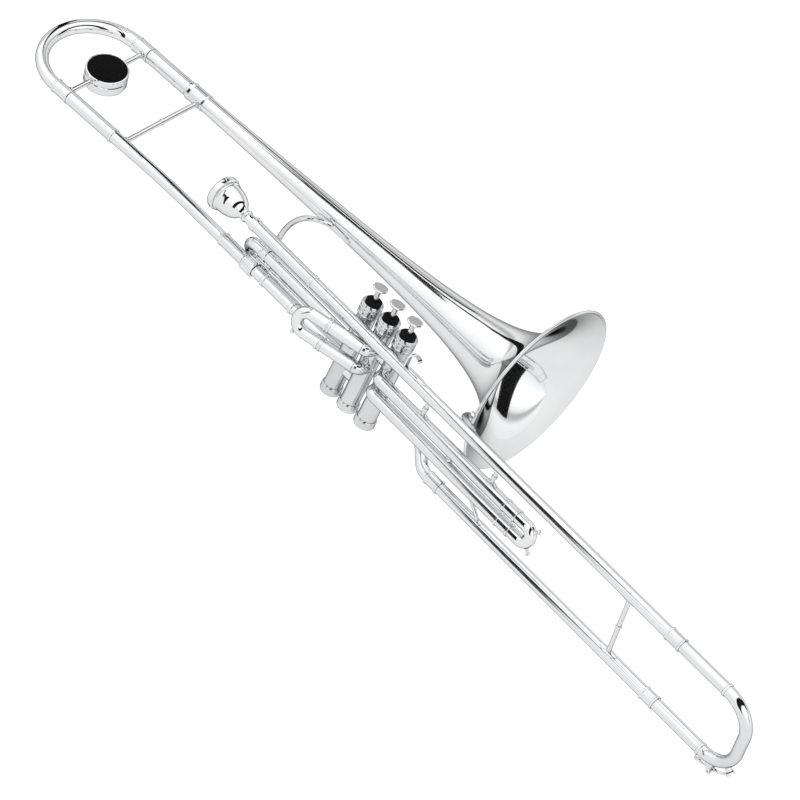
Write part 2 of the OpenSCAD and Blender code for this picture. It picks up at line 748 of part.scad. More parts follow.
// Posts from the leadpipe down to the third slide, between its tubes, and on to the return tube
module third_slide_braces() {
    upper = [third_y, third_z + third_pitch / 2];
    lower = [third_y, third_z - third_pitch / 2];
    drop = norm([return_y - lower[0], return_z - lower[1]]);
    near_r = sleeve_od / 2;
    far_r = tube_od / 2;
    seat = 0.6;
    near_x = 181;
    far_x = 191;
    ease = 14;
    skew = [for (t = [0:0.125:1]) cubic([[near_x, near_r + seat, 0], [near_x, near_r + ease, 0],
                                         [far_x, drop - near_r - ease, 0],
                                         [far_x, drop - far_r - seat, 0]], t)];
    color(SILVER) {
        for (x = lead_posts) translate([x, 0, 0]) facing([lead_y, lead_z], upper)
            brace(lead_z - upper[1], far_r, near_r, 4.4, 15);
        translate([slide_post, 0, 0]) facing(upper, lower) brace(third_pitch, near_r, near_r, 4, 9);
        facing(lower, [return_y, return_z]) {
            translate([near_x, 0, 0]) foot(near_r, 12, 8);
            translate([far_x, drop, 0]) mirror([0, 1, 0]) foot(far_r, 12, 8);
            rod_along(skew, [for (p = skew) 2.1], 12, [0, 0, 1]);
        }
    }
}

module front_brace() {
    color(SILVER) translate([front_post, 0, 0]) facing([lead_y, lead_z], [return_y, return_z])
        brace(2 * bow_half, tube_od / 2, tube_od / 2, 5, 22);
}

// Hook for the little finger: a strip that stands on the leadpipe and curls forward
module finger_hook() {
    strip = 6;
    thick = 2;
    curl_r = 7;
    stand_x = hook_x - 14;
    stand_high = 17.6;
    base_r = tube_od / 2;
    color(BRIGHT) at_lead() {
        translate([hook_x, 0, 0]) rotate([90, 0, 0]) foot(base_r, 36, 8);
        translate([stand_x - thick / 2, -strip / 2, base_r + 0.5])
            cube([thick, strip, stand_high - base_r - 0.5]);
        translate([stand_x + curl_r, 0, stand_high]) rotate([90, 0, 0]) translate([0, 0, -strip / 2])
            rotate_extrude(angle = 150, start = 30) translate([curl_r - thick / 2, 0]) square([thick, strip]);
    }
}

// ---------- outlet and neck ----------

module at_outlet() { translate([0, out_y, out_z]) children(); }

module outlet_tube() {
    color(SILVER) difference() {
        at_outlet() {
            tube(nut_x[1] - 2, -valve_pitch, tube_od, bore);
            for (x = [-150, -106]) collar(x, x + 4, tube_od + 2, tube_od + 2 * fit);
        }
        at_valve(1) translate([0, 0, -40]) cylinder(h = 80, d = casing_od + 2 * fit);
    }
}

// Knurled collar that screws the bell section onto the valves
module lock_nut() {
    r = 9.2;
    length = nut_x[1] - nut_x[0];
    flutes = 24;
    color(SILVER) at_outlet() difference() {
        turned([[tube_od / 2 + 0.5, nut_x[0]], [r - 1, nut_x[0]], [r, nut_x[0] + 1], [r, nut_x[1] - 1],
                [r - 1, nut_x[1]], [tube_od / 2 + 0.5, nut_x[1]]]);
        for (k = [0:flutes - 1]) rotate([k * 360 / flutes, 0, 0]) translate([nut_x[0] + 2.5, 0, r + 0.35])
            along_x() cylinder(h = length - 5, d = 1.6);
    }
}

module neck_receiver() {
    id = tube_od + 2 * fit;
    color(SILVER) at_outlet() {
        ferrule(-216, nut_x[0] - 0.3, id + 1.2, id);
    }
}

// Point on the neckpipe's axis, in the outlet's frame: t is the distance back from the gooseneck's front end
function neck_point(t) = let (
    a = min(t / neck_r * 180 / PI, neck_turn),
    rest = max(t - neck_r * neck_turn * PI / 180, 0),
    side = neck_r * (1 - cos(a)) + rest * sin(a))
    [neck_x + neck_tangent - neck_r * sin(a) - rest * cos(a), side * cos(neck_side), side * sin(neck_side)];

// Straight stretch, long gentle gooseneck, then the tapered stretch up to the tuning slide
module neckpipe() {
    arc_len = neck_r * neck_turn * PI / 180;
    taper_len = -neck_ring_x - neck_tangent;
    path = concat([[nut_x[1] - 2.5, 0, 0]], [for (k = [0:8]) neck_point(arc_len * k / 8)],
                  [neck_point(arc_len + taper_len)]);
    last = len(path) - 1;
    color(SILVER) at_outlet()
        pipe_along(path, [for (i = [0:last]) i == last ? neck_leg_od / 2 : tube_od / 2], wall, 32, [0, 0, 1]);
}

// Outer tube of the tuning slide on the neck's side, with its ring
module neck_sleeve() {
    id = neck_leg_od + 2 * slide_gap;
    color(SILVER) bell_frame() {
        tube(tuning_gap_x, neck_ring_x - fit, id + 0.9, id);
        collar(neck_ring_x - 3, neck_ring_x - fit, id + 2.4, id + 0.8);
    }
}

// ---------- bell ----------

// Outside radius of the bell at a distance d behind its mouth
function flare(d) = bell_rim_r * pow(flare_len / (d + flare_len), flare_power);
// Slope of that radius
function flare_slope(d) = -flare_power * flare(d) / (d + flare_len);

// Sheet of the bell between the distances d0 and d1 behind its mouth, with its rings closer near d0
module bell_sheet(d0, d1, rings) {
    depths = [for (k = [0:rings]) d0 + (d1 - d0) * pow(k / rings, 1.6)];
    outside = [for (d = depths) [flare(d), rim_x - d]];
    inside = [for (k = [rings:-1:0]) let (d = depths[k], s = flare_slope(d), n = norm([1, s]))
        [flare(d) - bell_wall / n, rim_x - d - bell_wall * s / n]];
    color(SILVER) on_bell_line() turned(concat(outside, inside));
}

module bell_flare() { bell_sheet(0.8, flare_seam, 16); }
module bell_throat() { bell_sheet(flare_seam, throat_seam, 14); }
module bell_tail() { bell_sheet(throat_seam, tail_d - fit, 14); }

// Rim wire round the bell's mouth
module bell_rim() {
    wire = 3;
    color(BRIGHT) on_bell_line() translate([rim_x - wire / 2, 0, 0]) along_x()
        rotate_extrude($fn = 180) translate([bell_rim_r - wire / 2, 0]) circle(d = wire, $fn = 48);
}

// Outer tube of the tuning slide on the bell's side, with the ferrule that holds the bell's tail
module bell_sleeve() {
    id = bell_leg_od + 2 * slide_gap;
    od = 17.6;
    big = 2 * flare(tail_d - 20) + 0.1;
    color(SILVER) on_bell_line() {
        turned([[id / 2, tuning_gap_x], [od / 2, tuning_gap_x], [od / 2, bell_sleeve_x - 5],
                [big / 2 + 0.7, bell_sleeve_x - 3], [big / 2 + 1.1, bell_sleeve_x - 1],
                [big / 2 + 0.6, bell_sleeve_x + 2], [big / 2 + 0.6, bell_ferrule_x - 3],
                [big / 2 + 1.1, bell_ferrule_x - 1.5], [big / 2 + 0.8, bell_ferrule_x],
                [big / 2, bell_ferrule_x], [big / 2, bell_sleeve_x - fit], [id / 2, bell_sleeve_x - fit]]);
    }
}

// Fixed rod between the neckpipe and the bell's tail
module bell_brace() {
    near_r = neck_leg_od / 2;
    far_r = flare(tail_d - 20) + 0.75;
    color(SILVER) bell_frame() translate([stay_rod_x, 0, 0]) brace(bell_pitch, near_r, far_r, 5.6, 7.6);
}

// ---------- tuning slide ----------

// Bow that widens from the neck leg to the bell leg, with its two legs
module tuning_slide() {
    r = bell_pitch / 2;
    steps = 30;
    r0 = neck_leg_od / 2;
    r1 = bell_leg_od / 2;
    path = [for (i = [0:steps]) let (a = 180 * i / steps) [tuning_x - r * sin(a), r - r * cos(a), 0]];
    color(BRIGHT) bell_frame() {
        tube(tuning_x + fit, neck_ring_x - 4.5, neck_leg_od, neck_leg_od - 2 * tuning_wall);
        translate([0, bell_pitch, 0])
            tube(tuning_x + fit, bell_sleeve_x - 4.5, bell_leg_od, bell_leg_od - 2 * tuning_wall);
        pipe_along(path, [for (i = [0:steps]) r0 + (r1 - r0) * i / steps], tuning_wall, 28, [0, 0, 1]);
    }
}

module tuning_ferrules() {
    neck_id = neck_leg_od + 2 * fit;
    bell_id = bell_leg_od + 2 * fit;
    color(SILVER) bell_frame() {
        ferrule(tuning_x, tuning_gap_x - 0.4, neck_id + 1.2, neck_id);
        translate([0, bell_pitch, 0]) ferrule(tuning_x, tuning_gap_x - 0.4, bell_id + 1.2, bell_id);
    }
}

// Round weight on a rod that crosses the tuning slide
module counterweight() {
    top = weight_top;
    thick = 19.7;
    lip = weight_lip;
    r = weight_d / 2;
    near_r = neck_leg_od / 2 + 0.7;
    far_r = bell_leg_od / 2 + 0.7;
    color(SILVER) bell_frame() translate([rod_x, 0, 0]) {
        brace(bell_pitch, near_r, far_r, 5.6, 9);
        translate([0, bell_pitch / 2, 0]) rotate_extrude() polygon([
            [0, top - thick], [r - 2.5, top - thick], [r - 0.7, top - thick + 0.7], [r, top - thick + 2.5],
            [r, top - 8.4], [r - 1, top - 7.6], [r, top - 6.8], [r, top - 1.6], [r - 0.6, top - 0.4],
            [r - 1.6, top], [r - lip, top - 0.1], [r - lip, top - badge_deep], [0, top - badge_deep]]);
    }
}

// Badge set in the weight's face: a plain disc with one raised ring
module counterweight_badge() {
    face = weight_top - badge_deep;
    r = weight_d / 2 - weight_lip - fit;
    color(BLACK) bell_frame() translate([rod_x, bell_pitch / 2, 0]) rotate_extrude() polygon([
        [0, face], [r, face], [r, face + 0.8], [r * 0.78, face + 0.85], [r * 0.76, face + 1.1],
        [r * 0.72, face + 1.1], [r * 0.7, face + 0.85], [0, face + 0.9]]);
}

// ---------- braces between the leadpipe and the bell ----------

// Bowed arm from the mouthpiece receiver to a long saddle on the bell's side
module curved_brace() {
    foot_x = -154;
    root = [foot_x, lead_y + receiver_od / 2 + 0.6, lead_z];
    arm = [root + [0, 2, 0], [-172, 22, 38], [-200, 80, 22], [-168, 96.4, 20]];
    path = concat([root], [for (t = [0:0.05:1]) cubic(arm, t)]);
    saddle_x = [112, 163];
    saddle_mid = (saddle_x[0] + saddle_x[1]) / 2;
    step = 8.5;
    color(SILVER) {
        translate([foot_x, lead_y, lead_z]) foot(receiver_od / 2, 16, 9);
        rod_along(path, [for (p = path) 3], 16, [0, 0, 1]);
        on_bell_line() intersection() {
            turned(concat(
                [for (x = [saddle_x[0]:step:saddle_x[1]]) [flare(rim_x - x) + 0.08, x]],
                [for (x = [saddle_x[1]:-step:saddle_x[0]]) [flare(rim_x - x) + 1.8, x]]));
            rotate([0, 0, 180]) translate([-saddle_mid, 0, 0]) rotate([-90, 0, 0])
                linear_extrude(20) polygon([for (k = [0:23]) [25 * cos(15 * k), 4 * sin(15 * k)]]);
        }
    }
}

// Short stay from the leadpipe to the back of the bell near its mouth
module bell_stay() {
    root = [144, lead_y + tube_od / 2 + 0.6, lead_z];
    arm = [root + [0, 2, 0], [136, 2, 38], [108, 14, 24], [113, 31, 21.5]];
    path = concat([root], [for (t = [0:0.1:1]) cubic(arm, t)]);
    color(SILVER) difference() {
        union() {
            translate([146, lead_y, lead_z]) foot(tube_od / 2, 17, 9);
            rod_along(path, [for (p = path) 3.2], 16, [0, 0, 1]);
            translate([116, 33, 21]) rotate([0, 90, 2.8]) translate([0, 0, -4]) cylinder(h = 6, d = 9);
        }
        on_bell_line() turned(concat([[0, rim_x - 30], [0, rim_x + 10], [bell_rim_r + 0.5, rim_x + 10],
                                      [bell_rim_r + 0.5, rim_x - 0.05]],
            [for (d = [0.05:1:20]) [flare(d) + 0.25, rim_x - d - 0.25]]));
    }
}

mouthpiece_crown();
mouthpiece_bowl();
mouthpiece_shank();
mouthpiece_receiver();
leadpipe();
pipe_ferrules();
end_bow();
return_tube();
return_elbow();
water_key_saddle();
water_key_lever();
water_key_pin();
water_key_cork();
water_key_spout();
water_key_spring();
valve_casing_1();
valve_casing_2();
valve_casing_3();
top_caps();
bottom_caps();
valve_knuckles();
felts();
piston_1();
piston_2();
piston_3();
finger_button_1();
finger_button_2();
finger_button_3();
button_inlay_1();
button_inlay_2();
button_inlay_3();
valve_spring_1();
valve_spring_2();
valve_spring_3();
first_slide_tubes();
first_slide();
second_slide_tubes();
second_slide();
second_slide_knob();
third_slide_tubes();
third_slide();
third_slide_nubs();
third_slide_braces();
front_brace();
finger_hook();
outlet_tube();
lock_nut();
neck_receiver();
neckpipe();
neck_sleeve();
bell_sleeve();
bell_flare();
bell_throat();
bell_tail();
bell_rim();
bell_brace();
tuning_slide();
tuning_ferrules();
counterweight();
counterweight_badge();
curved_brace();
bell_stay();
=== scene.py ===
import json
import math

import bpy
from mathutils import Matrix, Vector


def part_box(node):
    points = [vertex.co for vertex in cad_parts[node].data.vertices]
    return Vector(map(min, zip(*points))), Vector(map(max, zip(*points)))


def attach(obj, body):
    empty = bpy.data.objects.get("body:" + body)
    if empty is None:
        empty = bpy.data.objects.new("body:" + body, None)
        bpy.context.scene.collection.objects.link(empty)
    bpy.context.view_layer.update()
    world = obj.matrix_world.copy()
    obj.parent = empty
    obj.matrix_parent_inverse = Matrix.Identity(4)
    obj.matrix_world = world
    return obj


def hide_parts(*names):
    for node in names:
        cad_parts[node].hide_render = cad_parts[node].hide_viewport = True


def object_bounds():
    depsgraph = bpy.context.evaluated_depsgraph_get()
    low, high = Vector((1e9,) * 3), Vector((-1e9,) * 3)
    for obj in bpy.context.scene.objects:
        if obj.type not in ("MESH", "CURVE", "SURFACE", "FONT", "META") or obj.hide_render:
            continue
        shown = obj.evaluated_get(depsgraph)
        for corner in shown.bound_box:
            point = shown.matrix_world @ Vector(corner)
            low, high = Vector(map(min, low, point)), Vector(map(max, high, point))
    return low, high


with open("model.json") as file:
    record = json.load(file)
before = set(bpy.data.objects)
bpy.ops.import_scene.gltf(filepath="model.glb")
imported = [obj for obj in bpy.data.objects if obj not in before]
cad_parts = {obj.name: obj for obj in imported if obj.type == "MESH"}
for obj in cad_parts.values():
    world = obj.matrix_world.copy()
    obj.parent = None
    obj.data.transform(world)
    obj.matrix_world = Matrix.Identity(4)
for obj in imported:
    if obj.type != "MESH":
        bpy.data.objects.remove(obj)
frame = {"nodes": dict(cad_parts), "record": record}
cad_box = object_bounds()
nodes = frame["nodes"]
record = frame["record"]
mounts = {m["name"]: m for m in record["mounts"]}

# ---------- camera ----------

CAMERA_DISTANCE = 4.0
CAMERA_AZIMUTH = math.radians(29.53)
CAMERA_ELEVATION = math.radians(34.91)
CAMERA_ROLL = math.radians(26.76)
LENS = 178.9
# Where the hand grip sits off the middle of the frame, in metres to the right and up
OFF_RIGHT = -0.0326
OFF_UP = 0.0352


def make_camera():
    a, e = CAMERA_AZIMUTH, CAMERA_ELEVATION
    back = Vector((math.sin(a) * math.cos(e), -math.cos(a) * math.cos(e), math.sin(e)))
    level = Vector((math.cos(a), math.sin(a), 0.0))
    right = math.cos(CAMERA_ROLL) * level + math.sin(CAMERA_ROLL) * back.cross(level)
    up = back.cross(right)
    data = bpy.data.cameras.new("camera")
    data.sensor_width = 36.0
    data.lens = LENS
    data.clip_end = 100.0
    cam = bpy.data.objects.new("camera", data)
    bpy.context.scene.collection.objects.link(cam)
    cam.location = CAMERA_DISTANCE * back
    target = -OFF_RIGHT * right - OFF_UP * up
    back = (cam.location - target).normalized()
    right = up.cross(back).normalized()
    up = back.cross(right)
    cam.rotation_euler = Matrix((right, up, back)).transposed().to_euler()
    bpy.context.scene.camera = cam


# ---------- studio ----------

FLOOR_DROP = 0.55
FLOOR_HALF = 40.0
FLOOR_WHITE = 0.95
FLOOR_GLOW = 0.12
# Brightness round the horn, as (place, grey) pairs: 0 is the near horizon, 0.5 overhead, 1 the far horizon
TENT = [(0.0, 0.66), (0.12, 0.8), (0.28, 0.9), (0.6, 0.9), (0.69, 0.74), (0.75, 0.4), (0.8, 0.45),
        (0.87, 0.8), (1.0, 0.75)]
TENT_STRENGTH = 1.3


def ramp_stops(ramp, stops):
    """Grey stops of a colour ramp, from (position, value) pairs."""
    for element, (position, value) in zip(ramp.elements, (stops[0], stops[-1])):
        element.position = position
        element.color = (value, value, value, 1)
    for position, value in stops[1:-1]:
        ramp.elements.new(position).color = (value, value, value, 1)


def make_world():
    """Pale tent whose walls run along the horn, with one grey band halfway up the far side.

    Everything below the horizon has the grey of the first stop.
    """
    world = bpy.data.worlds.new("studio")
    bpy.context.scene.world = world
    world.use_nodes = True
    t = world.node_tree
    t.nodes.clear()
    out = t.nodes.new("ShaderNodeOutputWorld")
    bg = t.nodes.new("ShaderNodeBackground")
    coord = t.nodes.new("ShaderNodeTexCoord")
    split = t.nodes.new("ShaderNodeSeparateXYZ")
    flip = t.nodes.new("ShaderNodeMath")
    turn = t.nodes.new("ShaderNodeMath")
    share = t.nodes.new("ShaderNodeMath")
    ramp = t.nodes.new("ShaderNodeValToRGB")
    flip.operation = "MULTIPLY"
    flip.inputs[1].default_value = -1.0
    turn.operation = "ARCTAN2"
    share.operation = "DIVIDE"
    share.inputs[1].default_value = math.pi
    t.links.new(coord.outputs["Generated"], split.inputs[0])
    t.links.new(split.outputs["Y"], flip.inputs[0])
    t.links.new(split.outputs["Z"], turn.inputs[0])
    t.links.new(flip.outputs[0], turn.inputs[1])
    t.links.new(turn.outputs[0], share.inputs[0])
    t.links.new(share.outputs[0], ramp.inputs["Fac"])
    t.links.new(ramp.outputs["Color"], bg.inputs["Color"])
    t.links.new(bg.outputs[0], out.inputs["Surface"])
    bg.inputs["Strength"].default_value = TENT_STRENGTH
    ramp_stops(ramp.color_ramp, TENT)


def plain_material(name, grey, emission=0.0):
    """Matt grey, which can glow white as well."""
    m = bpy.data.materials.new(name)
    m.use_nodes = True
    b = m.node_tree.nodes["Principled BSDF"]
    b.inputs["Base Color"].default_value = (grey, grey, grey, 1)
    b.inputs["Roughness"].default_value = 0.9
    b.inputs["Specular IOR Level"].default_value = 0.1
    if emission:
        b.inputs["Emission Color"].default_value = (1, 1, 1, 1)
        b.inputs["Emission Strength"].default_value = emission
    return m


def mesh_object(name, verts, faces, material, smooth=True):
    mesh = bpy.data.meshes.new(name)
    mesh.from_pydata([tuple(v) for v in verts], [], faces)
    mesh.validate()
    mesh.update()
    if smooth:
        mesh.shade_smooth()
    obj = bpy.data.objects.new(name, mesh)
    bpy.context.scene.collection.objects.link(obj)
    mesh.materials.append(material)
    return obj


def level_square(name, z, material):
    """Square as wide as the floor, level, at height z."""
    h = FLOOR_HALF
    corners = [(-h, -h, z), (h, -h, z), (h, h, z), (-h, h, z)]
    return mesh_object(name, corners, [(0, 1, 2, 3)], material, smooth=False)


def make_floor():
    white = plain_material("floor_white", FLOOR_WHITE, FLOOR_GLOW)
    floor = level_square("floor", cad_box[0].z - FLOOR_DROP, white)


# Cards that only the polished metal sees: three black ones, which it mirrors as dark streaks, and a bright
# one just above the floor
CARD_RADIUS = 2.7
BLACK_CARD = 0.004
GREY_CARD = 0.9
GREY_CARD_DROP = 0.9 * FLOOR_DROP
ARCH_X = 1.65
ARCH_HALF_WIDTH = 0.55
# The camera's direction, seen along the horn: its angle about X, and how far it leans along X for each
# metre away from the horn
CARD_ZERO = math.radians(38.7)
LEAN = 0.442
# The band that curves round the horn, as (place along the horn, first angle, last angle) about X, in degrees
# up from CARD_ZERO
BAND = [(-0.75, 92, 106), (-0.35, 68, 82), (-0.12, 43, 57), (0.02, 32, 46), (0.12, 22, 36), (0.20, 6, 20),
        (0.28, -12, 6), (0.36, -28, 2), (0.42, -42, 2), (0.50, -64, 8), (0.80, -75, 12)]
# The ribbon past the tuning bow, as points and the half width at each
TAIL = [(-1.30, -0.40, 1.90), (-1.20, 0.20, 1.93), (-1.23, 0.45, 1.86), (-1.45, 0.66, 1.60),
        (-1.59, 0.61, 1.44), (-1.82, 0.69, 1.04), (-1.93, 0.96, 0.21), (-1.74, 1.13, -0.54)]
TAIL_HALF_WIDTHS = [0.05, 0.07, 0.09, 0.10, 0.11, 0.12, 0.14, 0.14]


def only_reflected(card):
    card.visible_camera = False
    card.visible_shadow = False
    card.visible_diffuse = False


def black_card(name, points):
    """Strip of black cloth between two edges, whose points come in pairs."""
    faces = [(i, i + 1, i + 3, i + 2) for i in range(0, len(points) - 2, 2)]
    only_reflected(mesh_object(name, points, faces, plain_material(name, BLACK_CARD), smooth=False))


def about_x(x, angle):
    """Point at the cards' radius from the X axis; the angle counts up from the near horizon."""
    return (x, -CARD_RADIUS * math.cos(angle), CARD_RADIUS * math.sin(angle))


def black_band(name, stations):
    points = []
    for x, first, last in stations:
        for angle in (first, last):
            points.append(about_x(x - LEAN * CARD_RADIUS, math.radians(angle) + CARD_ZERO))
    black_card(name, points)


def black_ribbon(name, line, half_widths):
    """Strip along a line of points, turned to face the hand grip."""
    points = []
    for i, (p, half_width) in enumerate(zip(line, half_widths)):
        along = Vector(line[min(i + 1, len(line) - 1)]) - Vector(line[max(i - 1, 0)])
        side = along.cross(Vector(p)).normalized() * half_width
        points += [Vector(p) - side, Vector(p) + side]
    black_card(name, points)


def make_cards():
    arch = [about_x(ARCH_X, math.radians(a)) for a in range(4, 150, 8)]
    black_ribbon("card_arch", arch, [ARCH_HALF_WIDTH] * len(arch))
    black_ribbon("card_tail", TAIL, TAIL_HALF_WIDTHS)
    black_band("card_black", BAND)
    glow = plain_material("card_grey", 0.0, GREY_CARD)
    only_reflected(level_square("card_grey", cad_box[0].z - GREY_CARD_DROP, glow))


# ---------- materials ----------


# How the noise is squeezed, so that its grain runs along one axis
GRAIN_ALONG_X = (1, 14, 14)
GRAIN_ALONG_Z = (14, 14, 1)
GRAIN_DEPTH = 0.00004


class Nodes:
    """Short helper that builds a principled material node by node."""

    def __init__(self, name):
        self.m = bpy.data.materials.new(name)
        self.m.use_nodes = True
        self.t = self.m.node_tree
        self.bsdf = self.t.nodes["Principled BSDF"]
        self.coord = self.t.nodes.new("ShaderNodeTexCoord")

    def new(self, kind, **values):
        n = self.t.nodes.new(kind)
        for k, v in values.items():
            setattr(n, k, v)
        return n

    def link(self, a, b):
        self.t.links.new(a, b)

    def noise(self, scale, detail=4.0, rough=0.55, stretch=(1, 1, 1)):
        mapping = self.new("ShaderNodeMapping")
        mapping.inputs["Scale"].default_value = stretch
        self.link(self.coord.outputs["Object"], mapping.inputs["Vector"])
        n = self.new("ShaderNodeTexNoise")
        n.inputs["Scale"].default_value = scale
        n.inputs["Detail"].default_value = detail
        n.inputs["Roughness"].default_value = rough
        self.link(mapping.outputs[0], n.inputs["Vector"])
        return n.outputs["Fac"]

    def spread(self, value, low, high, at_low=0.3, at_high=0.7):
        n = self.new("ShaderNodeMapRange")
        n.inputs["From Min"].default_value = at_low
        n.inputs["From Max"].default_value = at_high
        n.inputs["To Min"].default_value = low
        n.inputs["To Max"].default_value = high
        self.link(value, n.inputs["Value"])
        return n.outputs[0]

    def mix(self, fac, a, b):
        """Mix of a, a colour or a socket, with the colour b."""
        n = self.new("ShaderNodeMix", data_type="RGBA")
        if isinstance(a, tuple):
            n.inputs["A"].default_value = (*a, 1)
        else:
            self.link(a, n.inputs["A"])
        n.inputs["B"].default_value = (*b, 1)
        self.link(fac, n.inputs["Factor"])
        return n.outputs["Result"]

    def bump(self, height, strength, distance):
        n = self.new("ShaderNodeBump")
        n.inputs["Strength"].default_value = strength
        n.inputs["Distance"].default_value = distance
        self.link(height, n.inputs["Height"])
        self.link(n.outputs[0], self.bsdf.inputs["Normal"])


def silver(name, light, dark, rough, bump, grain=GRAIN_ALONG_X, rim=0.32):
    """Silver plate with a cloudy colour, corners worn brighter and a fine grain.

    Where the metal turns from the eye its colour sinks to rim times the dark one: a painted edge shade that
    follows the view.
    """
    n = Nodes(name)
    cloud = n.spread(n.noise(18.0, detail=5.0), 0.0, 1.0, at_low=0.35)
    color = n.mix(cloud, light, dark)
    point = n.new("ShaderNodeNewGeometry").outputs["Pointiness"]
    corner = n.spread(point, 0.0, 0.35, at_low=0.52, at_high=0.62)
    color = n.mix(corner, color, tuple(min(c + 0.05, 1) for c in light))
    # Painted shade: the colour darkens towards the outline where the surface turns from the eye, and rim
    # sets how dark
    facing = n.new("ShaderNodeLayerWeight")
    facing.inputs["Blend"].default_value = 0.5
    painted_edge_shade = n.spread(facing.outputs["Facing"], 0.0, 1.0, at_low=0.66, at_high=0.97)
    color = n.mix(painted_edge_shade, color, tuple(rim * c for c in dark))
    n.link(color, n.bsdf.inputs["Base Color"])
    n.bsdf.inputs["Specular Tint"].default_value = (0.3, 0.3, 0.3, 1)
    n.bsdf.inputs["Metallic"].default_value = 1.0
    lines = n.noise(60.0, detail=6.0, rough=0.6, stretch=grain)
    n.link(n.spread(lines, *rough), n.bsdf.inputs["Roughness"])
    n.bump(lines, bump, GRAIN_DEPTH)
    return n.m


def felt(name):
    n = Nodes(name)
    fluff = n.noise(900.0, 8.0, 0.7)
    n.link(n.mix(fluff, (0.0015, 0.0015, 0.0015), (0.016, 0.0155, 0.0155)), n.bsdf.inputs["Base Color"])
    n.bsdf.inputs["Roughness"].default_value = 0.95
    n.bsdf.inputs["Specular IOR Level"].default_value = 0.04
    n.bsdf.inputs["Sheen Weight"].default_value = 0.02
    n.bump(fluff, 0.6, 0.0004)
    return n.m


def inlay(name):
    n = Nodes(name)
    wave = n.noise(160.0, 5.0, 0.6, (1, 2.2, 1))
    n.link(n.mix(wave, (0.30, 0.31, 0.32), (0.44, 0.45, 0.46)), n.bsdf.inputs["Base Color"])
    n.link(n.spread(wave, 0.28, 0.42), n.bsdf.inputs["Roughness"])
    n.bump(wave, 0.15, 0.0001)
    return n.m


def enamel(name):
    n = Nodes(name)
    dust = n.noise(240.0, 8.0, 0.7)
    n.link(n.mix(dust, (0.001, 0.001, 0.0012), (0.006, 0.006, 0.0065)), n.bsdf.inputs["Base Color"])
    n.link(n.spread(dust, 0.22, 0.34), n.bsdf.inputs["Roughness"])
    n.bsdf.inputs["Specular IOR Level"].default_value = 0.05
    n.bump(dust, 0.08, 0.00005)
    return n.m


def cork(name):
    n = Nodes(name)
    grain = n.noise(1200.0, 6.0, 0.7)
    n.link(n.mix(grain, (0.012, 0.010, 0.008), (0.05, 0.04, 0.03)), n.bsdf.inputs["Base Color"])
    n.bsdf.inputs["Roughness"].default_value = 0.85
    n.bump(grain, 0.5, 0.0003)
    return n.m


# The rim share of each silver sets its painted edge shade: how far its colour sinks at the outline
MATERIALS = {
    "silver_plate": silver("silver_plate", (0.86, 0.865, 0.875), (0.80, 0.805, 0.815),
                           rough=(0.05, 0.10), bump=0.05),
    "bright_silver": silver("bright_silver", (0.89, 0.895, 0.90), (0.84, 0.845, 0.85),
                            rough=(0.03, 0.07), bump=0.04),
    "satin_silver": silver("satin_silver", (0.80, 0.805, 0.81), (0.62, 0.625, 0.635),
                           rough=(0.12, 0.22), bump=0.16, grain=GRAIN_ALONG_Z, rim=0.2),
    "piston_nickel": silver("piston_nickel", (0.74, 0.74, 0.72), (0.66, 0.66, 0.64),
                            rough=(0.12, 0.2), bump=0.05, grain=GRAIN_ALONG_Z),
    "spring_steel": silver("spring_steel", (0.55, 0.55, 0.56), (0.45, 0.45, 0.46),
                           rough=(0.2, 0.35), bump=0.1),
    "black_felt": felt("black_felt"),
    "grey_inlay": inlay("grey_inlay"),
    "cork": cork("cork"),
    "black_enamel": enamel("black_enamel"),
}
# The bell's plate is brighter and darkens less at its edge
# Its painted edge shade is weaker, with rim 0.8
BELL_SILVER = silver("silver_plate_bell", (0.90, 0.905, 0.91), (0.84, 0.845, 0.855),
                     rough=(0.04, 0.09), bump=0.04, rim=0.8)


# ---------- smooth copies of the curved sheet metal ----------

# The bell section's own frame: along the bell's axis, and across it from the neck to the bell
BELL_ALONG = Vector(mounts["bell_mouth"]["axis"]).normalized()
BELL_ACROSS = Vector((-0.05361, 0.97079, 0.23387)).normalized()
BELL_MOUTH = Vector(mounts["bell_mouth"]["pos_m"])
# Places along that frame and sizes of the sheet metal, as in the CAD; the bell's tail and the slide's two
# legs end up to 0.3 mm short of it, under their sleeves
RIM_X = 0.4222
RIM_R = 0.1016
RIM_WIRE = 0.0015
FLARE_LEN = 0.020
FLARE_POWER = 0.74
BELL_WALL = 0.0006
TAIL_X = -0.0943
TUNING_X = -0.183
BELL_PITCH = 0.1167
NECK_LEG_R = 0.0070
BELL_LEG_R = 0.0082
NECK_END_X = -0.0955
BELL_END_X = -0.0990
# Shares of the radius that keep the copies inside the CAD's box
INSIDE_BOX = 0.9996
BOW_INSIDE = 0.988
# Steps of the turned and swept surfaces
BELL_RINGS = 150
BELL_SEGMENTS = 224
WIRE_STEPS = 20
MOUTHPIECE_SEGMENTS = 144
BOW_STEPS = 120
BOW_SIDES = 64


def bell_point(x, across, up=0.0):
    """Point in the bell section: x from its own origin, across from the bell's axis, up square to both."""
    third = BELL_ALONG.cross(BELL_ACROSS)
    return BELL_MOUTH + (x - RIM_X) * BELL_ALONG + across * BELL_ACROSS + up * third


def lead_point(x, across, up):
    """Point round the leadpipe's axis."""
    axis = Vector(mounts["mouthpiece_rim"]["pos_m"])
    return Vector((x, axis.y + across, axis.z + up))


def rounded(points, steps=8):
    """Smooth curve through points, with the given steps between each two."""
    curve = []
    for i in range(len(points) - 1):
        p = [Vector(points[min(max(i + k, 0), len(points) - 1)]) for k in (-1, 0, 1, 2)]
        for j in range(steps):
            t = j / steps
            curve.append(0.5 * (2 * p[1] + (p[2] - p[0]) * t
                                + (2 * p[0] - 5 * p[1] + 4 * p[2] - p[3]) * t ** 2
                                + (3 * p[1] - p[0] - 3 * p[2] + p[3]) * t ** 3))
    return [tuple(c) for c in curve] + [points[-1]]


